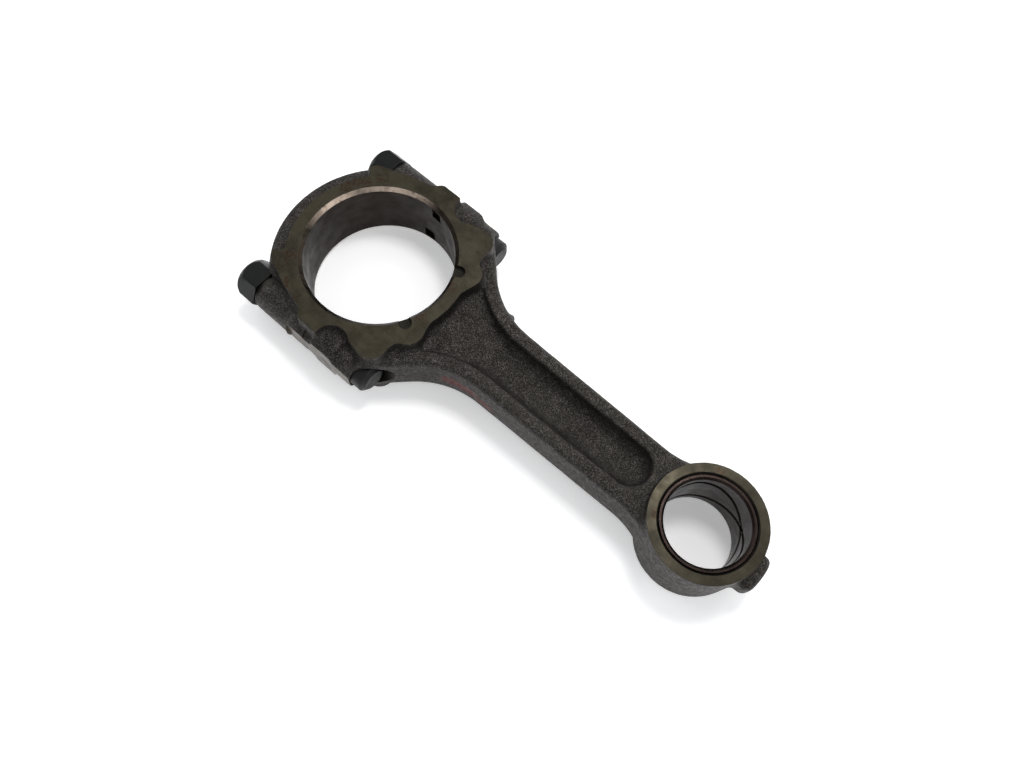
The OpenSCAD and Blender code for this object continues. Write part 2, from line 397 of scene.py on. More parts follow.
def put(tree, kind, values=None, links=None, **settings):
    """Add a node with its settings, its input values and its links"""
    node = tree.nodes.new("ShaderNode" + kind)
    for name, value in settings.items():
        setattr(node, name, value)
    for socket, value in (values or {}).items():
        node.inputs[socket].default_value = value
    for socket, source in (links or {}).items():
        tree.links.new(source, node.inputs[socket])
    return node


def per_mm(size):
    """The texture scale that makes a feature this many millimetres across"""
    return 1000.0 / size


def rgba(value):
    """A colour with full alpha"""
    return (*value, 1.0)


class Finish:
    """A material under construction, with its coordinates and its running colour and roughness"""

    def __init__(self, name, base, metallic, roughness):
        self.material = bpy.data.materials.new(name)
        self.material.use_nodes = True
        self.tree = self.material.node_tree
        self.shader = self.tree.nodes["Principled BSDF"]
        self.shader.inputs["Metallic"].default_value = metallic
        self.shader.inputs["Base Color"].default_value = rgba(base)
        self.shader.inputs["Roughness"].default_value = roughness
        self.place = self.node("TexCoord").outputs["Object"]
        self.colour = rgba(base)
        self.normal = None

    def node(self, kind, values=None, links=None, **settings):
        """Add a node to this material"""
        return put(self.tree, kind, values, links, **settings)

    def value(self, kind, values=None, links=None, **settings):
        """Add a node and give its first output"""
        return self.node(kind, values, links, **settings).outputs[0]

    def mapped(self, scale, turn=0.0, place=(0, 0, 0)):
        """The piece's coordinates, stretched, turned about Z and shifted"""
        values = {"Scale": scale, "Rotation": (0, 0, turn), "Location": place}
        return self.value("Mapping", values, {"Vector": self.place})

    def noise(self, size, detail=3.0, rough=0.55, vector=None):
        """Clouds whose largest feature is this many millimetres across"""
        values = {"Scale": per_mm(size), "Detail": detail, "Roughness": rough}
        return self.node("TexNoise", values, {"Vector": vector or self.place}).outputs["Fac"]

    def ramp(self, value, low, high, bottom=0.0, top=1.0):
        """Stretch a value between two limits"""
        values = {MAP_LOW: low, MAP_HIGH: high, MAP_BOTTOM: bottom, MAP_TOP: top}
        return self.value("MapRange", values, {MAP_VALUE: value})

    def maths(self, operation, a, b=None):
        """Work on one or two numbers or outputs"""
        values, links = {}, {}
        for socket, item in ((0, a), (1, b)):
            if isinstance(item, (int, float)):
                values[socket] = item
            elif item is not None:
                links[socket] = item
        return self.value("Math", values, links, operation=operation)

    def tint(self, amount, colour):
        """Lay a colour over the running one by an amount from 0 to 1"""
        values, links = {MIX_B: rgba(colour)}, {MIX_FACTOR: amount}
        if isinstance(self.colour, tuple):
            values[MIX_A] = self.colour
        else:
            links[MIX_A] = self.colour
        self.colour = self.node("Mix", values, links, data_type="RGBA").outputs[MIX_RESULT]

    def bump(self, height, depth):
        """Raise the surface by a height map whose full range is a depth in millimetres"""
        links = {"Height": height}
        if self.normal is not None:
            links["Normal"] = self.normal
        self.normal = self.value("Bump", {"Strength": 1.0, "Distance": depth * MM}, links)

    def soften(self, radius):
        """Round sharp machined edges by a small radius in millimetres"""
        self.normal = self.value("Bevel", {"Radius": radius * MM}, samples=4)

    def worn(self, low, high):
        """How far the surface sticks out, from 0 to 1"""
        return self.ramp(self.node("NewGeometry").outputs["Pointiness"], low, high)

    def axes(self):
        """The piece's coordinates, as outputs X, Y and Z"""
        return self.node("SeparateXYZ", None, {"Vector": self.place}).outputs

    def patch(self, centre, size, ragged, grain):
        """A ragged patch round a place in millimetres, 1 inside and 0 outside"""
        scale = tuple(1 / (s * MM) for s in size)
        shift = tuple(-c * MM * k for c, k in zip(centre, scale))
        inside = {"Vector": self.mapped(scale, 0.0, shift)}
        near = self.value("TexGradient", None, inside, gradient_type="SPHERICAL")
        rough = self.maths("MULTIPLY", self.noise(grain, 4.0, 0.7), ragged)
        edge = 0.25 + ragged * 0.5
        return self.ramp(self.maths("ADD", near, rough), edge, edge + 0.25)

    def done(self, roughness):
        """Link what was built to the shader"""
        if not isinstance(self.colour, tuple):
            self.tree.links.new(self.colour, self.shader.inputs["Base Color"])
        self.tree.links.new(roughness, self.shader.inputs["Roughness"])
        if self.normal is not None:
            self.tree.links.new(self.normal, self.shader.inputs["Normal"])
        return self.material


def forged_steel(c):
    """Drop-forged steel, shot-blasted and oiled: nearly black, with painted highlights on
    scattered facets and more of them on the rounded edges, sharp edges lightened partly as rubbed
    wear and partly as painted sheen on the ribs, and brown stains in the hollows"""
    f = Finish("Shot-blasted forged steel", c.forging, 0.8, 0.5)
    f.tint(f.ramp(f.noise(22), 0.42, 0.68), c.forging_brown)
    # The shot leaves dimples 0.24 mm across
    dimples = {"Scale": per_mm(0.24), "Randomness": 1.0}
    blast = f.node("TexVoronoi", dimples, {"Vector": f.place}).outputs
    facet = f.value("SeparateColor", None, {"Color": blast["Color"]})
    worn = f.worn(0.495, 0.56)
    patchy = f.ramp(f.noise(6, 2.0), 0.42, 0.7)
    # Painted highlights: a third of the facets are painted light as if they caught the lamps, more
    # of them on the sharp edges and in random patches
    rubbed = f.maths("MULTIPLY", f.maths("ADD", worn, patchy), 0.12)
    painted_highlight_mask = f.ramp(f.maths("ADD", facet, rubbed), 0.7, 1.15)
    # Sharp edges painted lighter: partly rubbed wear, partly painted sheen
    f.tint(f.maths("MULTIPLY", worn, 0.25), c.washer)
    f.tint(f.maths("MULTIPLY", painted_highlight_mask, 0.6), c.painted_facet_highlight)
    # The die's parting line, trimmed back to a narrow darker band on the flanks
    line = f.ramp(f.maths("ABSOLUTE", f.axes()["Z"]), 0.3 * MM, 0.9 * MM, 1.0, 0.0)
    f.tint(f.maths("MULTIPLY", line, 0.35), c.forging_brown)
    for centre, size in PAINT_PATCHES:
        f.tint(f.maths("MULTIPLY", f.patch(centre, size, 0.7, 1.6), 0.7), c.paint)
    f.bump(f.noise(1.0, 4.0, 0.7), 0.22)
    f.bump(blast["Distance"], 0.12)
    f.bump(line, -0.12)
    return f.done(f.ramp(f.noise(2.2, 3.0), 0.3, 0.7, 0.38, 0.62))


# Places and sizes of the paint left on the right flank
PAINT_PATCHES = [
    ((66, -21.5, 0), (9, 7, 6)),
    ((74, -20, -1), (10, 7, 6)),
    ((84, -19, -3), (9, 6, 5)),
]
# Places and radii of the rust spots on the ground faces
RUST_SPOTS = [
    ((-29, 32, 17), 2.6),
    ((-37, 22, 17), 2.4),
    ((-39, 16, 17), 2.2),
    ((-30, -30, 17), 3.0),
    ((-28, -36, 17), 2.4),
    ((-20, -40, 17), 2.6),
    ((38, 10, 17), 2.0),
    ((38, -10, 17), 2.2),
    ((-33, 25, 17), 2.0),
    ((-10, -43, 17), 2.0),
    ((186, 21, 17), 1.8),
    ((176, -12, 17), 1.6),
]


def ground_steel(c, name, turn, base, shine=0.36):
    """Ground steel under old oil: a dull olive grey with fine straight grinding marks, dark
    stains and pin-head rust spots"""
    f = Finish(name, base, 0.85, shine)
    f.soften(0.25)
    # Grinding marks are 0.02 mm apart on the real face, and drawn 0.35 mm apart so that they show
    marks = f.noise(1.0, 4.0, 0.6, f.mapped((0.06, 2.8, 1.0), turn))
    f.tint(f.ramp(f.noise(11, 5.0, 0.65), 0.42, 0.62, 0.0, 0.6), c.ground_stain_and_shade)
    f.tint(f.ramp(marks, 0.45, 0.75, 0.0, 0.5), c.ground_stain_and_shade)
    f.tint(f.ramp(f.noise(1.5, 5.0, 0.7), 0.58, 0.7, 0.0, 0.55), c.ground_stain_and_shade)
    f.tint(f.ramp(marks, 0.3, 0.42, 0.5, 0.0), c.washer)
    pits = f.ramp(f.noise(1.1, 3.0, 0.7), 0.5, 0.58)
    for centre, radius in RUST_SPOTS:
        spot = f.patch(centre, (radius * 2.2,) * 3, 0.6, 2.0)
        f.tint(f.maths("MULTIPLY", f.maths("MULTIPLY", spot, pits), 0.8), c.rust)
    f.bump(marks, 0.02)
    f.bump(f.noise(1.1, 3.0), 0.02)
    return f.done(f.ramp(f.noise(5, 4.0), 0.35, 0.7, shine - 0.06, shine + 0.16))


def bored_steel(c, name, base, shine=0.3):
    """Honed bore, browned by heat: dull brown with rings round the wall and darker bands"""
    f = Finish(name, base, 0.9, shine)
    f.soften(0.2)
    # Hone marks run round the wall, drawn 0.5 mm apart so that they show
    rings = f.noise(1.0, 3.0, 0.6, f.mapped((0.05, 0.05, 2.0)))
    f.tint(f.ramp(f.noise(16, 4.0), 0.42, 0.7, 0.0, 0.8), c.forging_brown)
    f.tint(f.ramp(rings, 0.5, 0.75, 0.0, 0.6), c.ground)
    f.bump(rings, 0.03)
    f.bump(f.noise(1.6, 4.0), 0.02)
    return f.done(f.ramp(f.noise(7, 4.0), 0.35, 0.7, shine, shine + 0.2))


def bright_edge(c):
    """Chamfer turned on the bore's edge: bright bare steel with a copper cast where it is warm,
    and painted shade on the side towards the shank
    """
    f = Finish("Turned bright chamfer", c.edge, 1.0, 0.24)
    f.soften(0.15)
    axes = f.axes()
    along, across = f.maths("MULTIPLY", axes["X"], -0.79), f.maths("MULTIPLY", axes["Y"], 0.62)
    side = f.maths("ADD", along, across)
    # Painted shade and highlight: the chamfer is darkened except on the side away from the shank,
    # which is left bright as if it caught the light
    f.tint(f.ramp(side, 19 * MM, 29 * MM, 0.9, 0.0), c.ground_stain_and_shade)
    f.tint(f.ramp(f.noise(9, 3.0), 0.4, 0.65, 0.0, 0.5), c.bore)
    f.tint(f.ramp(f.noise(2.5, 4.0), 0.55, 0.75, 0.0, 0.7), c.rust)
    return f.done(f.ramp(f.noise(3), 0.3, 0.7, 0.2, 0.4))


def worn_bronze(c):
    """Bearing bronze, broached and run in: pinkish brown, smooth, with streaks along the bore"""
    f = Finish("Broached bearing bronze", c.bronze, 0.9, 0.28)
    f.soften(0.15)
    streaks = f.noise(1.0, 3.0, 0.6, f.mapped((1.4, 1.4, 0.05)))
    f.tint(f.ramp(streaks, 0.45, 0.75, 0.0, 0.6), c.bore)
    f.tint(f.ramp(f.noise(8, 4.0), 0.48, 0.7, 0.0, 0.6), c.forging_brown)
    f.bump(streaks, 0.015)
    return f.done(f.ramp(f.noise(5), 0.3, 0.7, 0.22, 0.42))


def plain_steel(name, base, rubbed, metallic, shine, grain, amount):
    """A bolt, nut or washer: oiled steel with rubbed corners and a fine uneven skin"""
    f = Finish(name, base, metallic, shine)
    f.soften(0.25)
    f.tint(f.maths("MULTIPLY", f.ramp(f.noise(grain, 4.0, 0.7), 0.5, 0.8), amount), rubbed)
    f.tint(f.maths("MULTIPLY", f.worn(0.52, 0.62), 0.4), rubbed)
    f.bump(f.noise(0.7, 3.0), 0.03)
    return f.done(f.ramp(f.noise(3.5, 3.0), 0.3, 0.7, shine - 0.05, shine + 0.15))


def finishes():
    """Make each material once and keep them by name"""
    c = bpy.context.scene.rod_colours
    made = bpy.data.materials
    if "Shot-blasted forged steel" not in made:
        forged_steel(c)
        ground_steel(c, "Ground steel face", radians(52), c.ground)
        ground_steel(c, "Milled steel flat", radians(90), c.flat, 0.32)
        bored_steel(c, "Honed steel bore", c.bore, 0.4)
        bored_steel(c, "Drilled steel hole", c.forging, 0.4)
        bright_edge(c)
        worn_bronze(c)
        plain_steel("Phosphated bolt steel", c.bolt, c.washer, 0.8, 0.42, 2.0, 0.5)
        plain_steel("Black oxide nut steel", c.black, c.bolt, 0.7, 0.34, 3.0, 0.2)
        plain_steel("Hardened washer steel", c.washer, c.bolt, 0.95, 0.3, 2.0, 0.6)
    return made


def rod_finishes():
    """The rod's and the cap's materials, in the order of their slots"""
    names = (
        "Shot-blasted forged steel",
        "Ground steel face",
        "Honed steel bore",
        "Turned bright chamfer",
        "Drilled steel hole",
        "Milled steel flat",
    )
    return [finishes()[name] for name in names]


# Machining, in millimetres


def in_mm(sizes, name):
    """A size from the settings, in millimetres"""
    return getattr(sizes, name) / MM


def face_stock(piece, sizes, low_x, high_x):
    """Grind both thrust faces flat"""
    face = in_mm(sizes, "face")
    stock = face + 9
    machine(piece, block((low_x, -BEYOND, face), (high_x, BEYOND, stock)), GROUND)
    machine(piece, block((low_x, -BEYOND, -stock), (high_x, BEYOND, -face)), GROUND)


def bore_through(piece, sizes, x, radius, chamfer, edge=BRIGHT):
    """Bore a hole along Z with a chamfer at both faces"""
    face = in_mm(sizes, "face")
    run, steps = 3.0, 224
    flare = [(radius + chamfer + run, face + run), (radius, face - chamfer)]
    profile = [(0, -face - run), (flare[0][0], -face - run), (radius, chamfer - face)]
    tool = turned([*profile, flare[1], flare[0], (0, face + run)], steps)
    machine(piece, moved(tool, x), BORED, edge)


def split_joint(piece, x0, x1):
    """Mill the joint face between the rod and the cap"""
    tall = 30
    machine(piece, block((x0, -BEYOND, -tall), (x1, BEYOND, tall)), JOINT)


def bolt_hole(piece, sizes, side, way, seat, spot_r):
    """Drill a bolt hole away from the joint face, with a spot face at its seat"""
    start, end = way * -5, way * (seat + 40)
    profile = [(0, start), (BOLT_HOLE_R, start), (BOLT_HOLE_R, way * seat), (spot_r, way * seat)]
    drill = turned([*profile, (spot_r, end), (0, end)], 96)
    machine(piece, along_x(drill, 0, side * in_mm(sizes, "bolt_y")), DRILLED)


def boss_flat(piece, sizes, side, x0, x1):
    """Mill the flat on the outside of a bolt boss"""
    flat, half = in_mm(sizes, "flat_y"), 14
    low, high = sorted((side * flat, side * (flat + 8)))
    machine(piece, block((x0, low, -half), (x1, high, half)), JOINT)


def oil_hole(piece, sizes, slot):
    """Drill the oil hole into the small end, at an angle from its tip"""
    radius, deep = 1.75, 40
    drill = turned([(0, 0), (radius, 0), (radius, deep), (0, deep)], 32)
    bmesh.ops.transform(drill, matrix=Matrix.Rotation(pi / 2, 4, "Y"), verts=drill.verts[:])
    machine(piece, moved(drill, in_mm(sizes, "pin_x"), 0, 0, OIL_HOLE_TURN), slot)


def tang_notch(piece, sizes, low_x, z):
    """Mill the notch that keys a bearing shell's tang, beside the joint face"""
    radius, width, depth = in_mm(sizes, "bore_r"), 6.6, 1.6
    low = (low_x, radius - 4, z - width / 2)
    machine(piece, block(low, (low_x + 7, radius + depth, z + width / 2)), DRILLED)


def tapered_floor(slope, face, wide_x):
    """A wedge with this side view, on one face of the web, that narrows from an X outwards"""
    half, taper = 26, 0.33
    bm = bmesh.new()
    side = [bm.verts.new((x * MM, 0, face * z * MM)) for x, z in slope]
    edges = [bm.edges.new(pair) for pair in zip(side, side[1:] + side[:1])]
    flat = bmesh.ops.edgeloop_fill(bm, edges=edges)["faces"][0]
    region = [flat, *edges, *side]
    across = bmesh.ops.extrude_face_region(bm, geom=region, use_keep_orig=True)["geom"]
    ends = [g for g in across if isinstance(g, bmesh.types.BMVert)]
    for verts, way in ((side, -1), (ends, 1)):
        for v in verts:
            v.co.y = way * (half * MM - taper * max(0.0, v.co.x - wide_x * MM))
    bmesh.ops.recalc_face_normals(bm, faces=bm.faces[:])
    return bm


class MESH_OT_rod_forging(bpy.types.Operator):
    """Forge the rod with its shank, then grind, bore and drill it"""

    bl_idname = "mesh.rod_forging"
    bl_label = "Rod forging"

    def execute(self, context):
        s = context.scene.rod_sizes
        by, pin, small = in_mm(s, "bolt_y"), in_mm(s, "pin_x"), in_mm(s, "small_r")
        seat, ring = in_mm(s, "head_seat"), in_mm(s, "ring_r")
        # Half widths of the shank at its two ends, and the radii of its two flank curves
        wide, narrow, sweep, neck = 18.2, 17.1, 46.0, 36.0
        shoulder = seat + by + 5.2
        flare_x = shoulder - wide + sweep * (sqrt(2) - 1)
        neck_x = pin - sqrt((small + neck) ** 2 - (narrow + neck) ** 2)
        neck_turn = degrees(acos((narrow + neck) / (small + neck)))
        flank = both_sides(
            [(-1.5, by - BOSS_IN), (seat, by - BOSS_IN), (seat, shoulder - seat)]
            + arc((flare_x, wide + sweep), sweep, 225, 270, 18)
            + arc((neck_x, narrow + neck), neck, 270, 270 + neck_turn, 12)
            + [(pin, small - 0.6)]
        )
        blank = die_half(flank, round_over(12.0, 0.25, 2.6))
        body = piece_from(blank, "rod_forging", rod_finishes())
        # The trough between the ribs, with its bowl end and its flared mouth
        trough, rib_side = 10.3, 17.5
        bowl_x = pin - small - 4 - trough
        inner = sweep + rib_side - trough
        mouth = 270 - degrees(asin((flare_x - ring - 1.5) / inner))
        turn_x = flare_x + (inner + 8) * cos(radians(mouth))
        turn_y = wide + sweep + (inner + 8) * sin(radians(mouth))
        channel = both_sides(
            arc((turn_x, turn_y), 8, 180, mouth - 180, 10)
            + arc((flare_x, wide + sweep), inner, mouth, 270, 16)[1:]
            + arc((bowl_x, 0), trough, 90, 0, 14)
        )
        drops = [(18 - 12.5, 0)] + [(d, i) for d, i in round_over(8.5, 0.3, 7.6, 7)]
        for below in (False, True):
            machine(body, stamp(channel, 18, drops, below), FORGED)
        # The floor rises from the web to the ring between the flared ribs
        slope = [(ring * 0.6, 3), (flare_x + 2, 3), (flare_x - 6, 4.6)]
        slope += [(ring, 9.8), (ring * 0.6, 11)]
        ramps = [tapered_floor(slope, face, ring) for face in (-1, 1)]
        # Thrust pads: joint pad, scallop beside the bolt head, two lobes and the ring
        pad = both_sides(
            [(-1.5, by + PAD_OUT), (8.3, by + PAD_OUT)]
            + arc((16, by + 3.3), 7.9, 168, 315, 9)
            + arc((seat + 1, by - 8.5), 8.1, 105, -22, 8)
            + arc((ring * 0.855, ring * 0.445), 8.0, 82, -28, 8)
            + arc((0, 0), ring + 0.2, 13, 0, 3)
        )
        tip = in_mm(s, "tip_x") - pin
        tab = 9.3
        tip_outline = both_sides(
            [(pin + 10, tab), (pin + sqrt((tip - 0.4) ** 2 - tab**2) - 1.2, tab)]
            + arc((pin, 0), tip, degrees(asin((tab - 1.3) / tip)), 0, 6)
        )
        pip = bmesh.new()
        bmesh.ops.create_icosphere(pip, subdivisions=3, radius=2.3 * MM)
        cone = [(0, -STOCK), (small - 0.1, -STOCK), (small + 0.15, 0)]
        cone += [(small - 0.1, STOCK), (0, STOCK)]
        parts = [
            *ramps,
            die_half(pad, round_over(STOCK, 0.45, 0.4, 1)),
            *(bar(10.0, -1.5, seat + 0.6, side * by) for side in (-1, 1)),
            *(bar(12.8, 6.0, seat - 10.5, side * by) for side in (-1, 1)),
            moved(turned(cone), pin),
            die_half(tip_outline, round_over(6.5, 0.1, 2.0)),
            moved(pip, flare_x - 14, wide + 1.9, 7),
        ]
        core = bmesh.new()
        core.from_mesh(body.data)
        whole = joined([core, *parts])
        bpy.data.objects.remove(body)
        rod = piece_from(whole, "rod_forging", rod_finishes())
        forge(rod, s.grain)
        face_stock(rod, s, -10, 260)
        split_joint(rod, -8, 0)
        bore_through(rod, s, 0, in_mm(s, "bore_r"), BORE_CHAMFER)
        bore_through(rod, s, pin, in_mm(s, "bush_r"), 0.7, DRILLED)
        for side in (-1, 1):
            bolt_hole(rod, s, side, 1, seat, 8.6)
            boss_flat(rod, s, side, -3, seat + 2)
            turn, at = side * radians(27.5), in_mm(s, "bore_r")
            for below in (False, True):
                pocket = both_sides([(-8, 3.1), *arc((3.0, 0), 3.1, 90, 0, 6)])
                punch = stamp(pocket, 20, [(4.2, 0), *round_over(1.2, 0.1, 1.0, 3)], below)
                machine(rod, moved(punch, at * cos(turn), at * sin(turn), 0, turn), DRILLED)
        tang_notch(rod, s, -1, 11)
        oil_hole(rod, s, DRILLED)
        finish_edges(rod, (FORGED,), 24)
        place_in_frame(rod, "rod", "forged_steel", "rod_body")
        return {"FINISHED"}


class MESH_OT_rod_cap(bpy.types.Operator):
    """Forge the bearing cap, then grind, bore and drill it"""

    bl_idname = "mesh.rod_cap"
    bl_label = "Bearing cap"

    def execute(self, context):
        s = context.scene.rod_sizes
        by, seat, ring = in_mm(s, "bolt_y"), in_mm(s, "seat_x"), in_mm(s, "ring_r")
        crown = in_mm(s, "crown_r")
        across = degrees(asin((by - BOSS_IN) / crown))
        back = both_sides([(1.5, by - BOSS_IN)] + arc((0, 0), crown, 180 - across, 180, 24))
        ear = radians(141)
        pad = both_sides(
            [(1.5, by + PAD_OUT), (-4, by + PAD_OUT), (-8, by + 1), (-20, by - 2), (-29, by - 5.2)]
            + [(-36.5, by - 8.0), (-39.2, by - 11.4), (50.6 * cos(ear), 50.6 * sin(ear))]
            + arc((0, 0), ring + 0.2, 141, 180, 12)
        )
        parts = [
            die_half(back, round_over(12.3, 0.2, 1.6, 3)),
            die_half(pad, round_over(STOCK, 0.45, 0.4, 1)),
        ]
        for side in (-1, 1):
            parts.append(bar(9.7, -seat - 0.8, 1.5, side * by))
            parts.append(bar(10.9, -10, 1.5, side * by))
        cap = piece_from(joined(parts), "cap_forging", rod_finishes())
        forge(cap, s.grain)
        face_stock(cap, s, -60, 10)
        split_joint(cap, 0, 8)
        bore_through(cap, s, 0, in_mm(s, "bore_r"), BORE_CHAMFER)
        for side in (-1, 1):
            bolt_hole(cap, s, side, -1, seat, 11.7)
            boss_flat(cap, s, side, -10.5, 3)
        tang_notch(cap, s, -6, -11)
        finish_edges(cap, (FORGED,), 24)
        place_in_frame(cap, "cap", "forged_steel", "bearing_cap")
        return {"FINISHED"}


class MESH_OT_rod_bush(bpy.types.Operator):
    """Turn the bush and cut its two crossing oil grooves"""

    bl_idname = "mesh.rod_bush"
    bl_label = "Small-end bush"

    def execute(self, context):
        s = context.scene.rod_sizes
        outer, half, inner = in_mm(s, "bush_r"), in_mm(s, "bush_half"), in_mm(s, "pin_r")
        rows = 88
        wall = [(inner, (half - 1) * (1 - 2 * i / rows)) for i in range(rows + 1)]
        profile = [(outer, 1 - half), (outer, half - 1), (outer - 0.5, half), (inner + 1, half)]
        bm = turned([*profile, *wall, (inner + 1, -half), (outer - 0.5, -half)], 320)
        # The grooves swing this far along the bore, and are this deep
        reach, depth = 11.0, 0.65
        groove = in_mm(s, "groove")
        for v in bm.verts:
            radius = sqrt(v.co.x**2 + v.co.y**2)
            if abs(radius / MM - inner) > 0.01:
                continue
            swing = sin(Vector((v.co.x, v.co.y)).angle_signed(Vector((1, 0))) - OIL_HOLE_TURN)
            lean = cos(atan(reach * sqrt(max(0, 1 - swing**2)) / inner))
            near = min(abs(v.co.z / MM - reach * swing), abs(v.co.z / MM + reach * swing)) * lean
            cut = depth * sqrt(max(0, 1 - (near / groove) ** 2))
            v.co.xy *= 1 + cut * MM / radius
        bronze = finishes()["Broached bearing bronze"]
        bush = piece_from(moved(bm, in_mm(s, "pin_x")), "bush_turned", [bronze])
        oil_hole(bush, s, 0)
        finish_edges(bush)
        place_in_frame(bush, "rod", "bush_bronze", "small_end_bush")
        return {"FINISHED"}


def thread(root, crest, x0, turns, pitch):
    """A helical ridge round X, swept along it from x0"""
    steps = 28
    bm = bmesh.new()
    foot = [(x0, root), (x0 + pitch * 0.86, root)]
    ridge = [*foot, (x0 + pitch * 0.5, crest), (x0 + pitch * 0.36, crest)]
    corners = [bm.verts.new((x * MM, 0, r * MM)) for x, r in ridge]
    face = bmesh.ops.contextual_create(bm, geom=corners)["faces"][0]
    bmesh.ops.spin(
        bm,
        geom=[face, *face.edges, *face.verts],
        cent=(0, 0, 0),
        axis=(1, 0, 0),
        dvec=(pitch / steps * MM, 0, 0),
        angle=2 * pi * turns,
        steps=turns * steps,
    )
    bmesh.ops.recalc_face_normals(bm, faces=bm.faces[:])
    return bm


class MESH_OT_rod_bolts(bpy.types.Operator):
    """Turn both fitted bolts and cut their threads"""

    bl_idname = "mesh.rod_bolts"
    bl_label = "Bolts"

    def execute(self, context):
        s = context.scene.rod_sizes
        seat, top, tip = in_mm(s, "head_seat"), in_mm(s, "head_top"), in_mm(s, "bolt_tip")
        head, shank = in_mm(s, "head_r"), in_mm(s, "bolt_r")
        root = shank - 0.68
        corner = arc((top - 2.4, head - 1.2), 1.2, 72, 30, 3)
        rim = [(top - 2.1, head), *corner, (top - 0.35, head - 1.9)]
        profile = [(0, -tip), (root - 0.9, -tip), (root, -tip + 0.9), (root, -21)]
        profile += [(shank - 0.3, -20.4), (shank - 0.02, -19.8)]
        profile += [(shank - 0.02, seat - 1.2), (shank - 0.3, seat - 0.6)]
        profile += [(shank - 0.3, seat), (head - 0.25, seat), (head, seat + 0.25)]
        profile += [(r, x) for x, r in rim] + [(head - 2.3, top), (0, top)]
        for side, name in SIDES:
            bolt = piece_from(
                along_x(turned(profile, 96), 0, side * in_mm(s, "bolt_y")),
                "bolt_turned_" + name,
                [finishes()["Phosphated bolt steel"]],
            )
            helix = thread(root - 0.2, shank - 0.05, -tip + 1.0, 18, s.pitch / MM)
            bmesh.ops.translate(helix, vec=(0, side * s.bolt_y, 0), verts=helix.verts[:])
            machine(bolt, helix, 0, operation="UNION")
            finish_edges(bolt)
            place_in_frame(bolt, name + "_bolt", "bolt_steel", "bolt_" + name)
        return {"FINISHED"}


class MESH_OT_rod_washers(bpy.types.Operator):
    """Turn both washers with rounded rims"""

    bl_idname = "mesh.rod_washers"
    bl_label = "Washers"

    def execute(self, context):
        s = context.scene.rod_sizes
        seat, base, rim = in_mm(s, "seat_x"), in_mm(s, "nut_x"), in_mm(s, "washer_r")
        hole = in_mm(s, "bolt_r") + 0.25
        profile = [(hole, -seat), (rim - 0.3, -seat), (rim, -seat - 0.3), (rim, 0.5 - base)]
        profile += [(rim - 0.45, -base), (hole + 0.5, -base), (hole, 0.5 - base)]
        for side, name in SIDES:
            washer = piece_from(
                along_x(turned(profile, 128), 0, side * in_mm(s, "bolt_y")),
                "washer_turned_" + name,
                [finishes()["Hardened washer steel"]],
            )
            finish_edges(washer)
            place_in_frame(washer, name + "_washer", "washer_steel", "washer_" + name)
        return {"FINISHED"}


class MESH_OT_rod_nuts(bpy.types.Operator):
    """Make both hexagon nuts, domed at the outer end and threaded inside"""

    bl_idname = "mesh.rod_nuts"
    bl_label = "Nuts"

    def execute(self, context):
        s = context.scene.rod_sizes
        base, end, flats = in_mm(s, "nut_x"), in_mm(s, "nut_end"), in_mm(s, "nut_flats")
        corner, hole = flats / 2 / cos(radians(30)), in_mm(s, "bolt_r") + 0.05
        for side, name in SIDES:
            bm = bmesh.new()
            high = (end - base) * MM
            bmesh.ops.create_cone(
                bm, cap_ends=True, segments=6, radius1=corner * MM, radius2=corner * MM, depth=high
            )
            bmesh.ops.translate(bm, vec=(0, 0, -base * MM - high / 2), verts=bm.verts[:])
            bmesh.ops.bevel(
                bm,
                geom=[e for e in bm.edges if abs(e.verts[0].co.z - e.verts[1].co.z) > high / 2],
                offset=0.35 * MM,
                segments=3,
                profile=0.5,
                affect="EDGES",
                material=-1,
            )
            place = in_mm(s, "bolt_y") * side
            black = [finishes()["Black oxide nut steel"]]
            nut = piece_from(along_x(bm, 0, place, s.nut_turn), "nut_domed_" + name, black)
            # A cone and a round take the corners off the outer end, and a light cone the base
            dome = [(0, -base), (corner - 0.9, -base), (corner + 0.3, -base - 0.6)]
            dome += [(corner + 0.3, 5.6 - end), (corner - 0.3, 3.6 - end)]
            dome += [(corner - 1.1, 2.0 - end), (corner - 2.2, 0.8 - end)]
            dome += [(corner - 3.4, -end), (0, -end)]
            machine(nut, along_x(turned(dome, 96), 0, place), 0, operation="INTERSECT")
            drill = [(0, 1 - base), (hole + 1.8, 1 - base), (hole, -base - 0.8)]
            drill += [(hole, 0.8 - end), (hole + 1.8, -end - 1), (0, -end - 1)]
            machine(nut, along_x(turned(drill, 72), 0, place), 0)
            tap = thread(hole - 0.4, hole + 0.6, -end - 1.0, 12, s.pitch / MM)
            bmesh.ops.translate(tap, vec=(0, side * s.bolt_y, 0), verts=tap.verts[:])
            machine(nut, tap, 0)
            finish_edges(nut)
            place_in_frame(nut, name + "_nut", "nut_black", "nut_" + name)
        return {"FINISHED"}


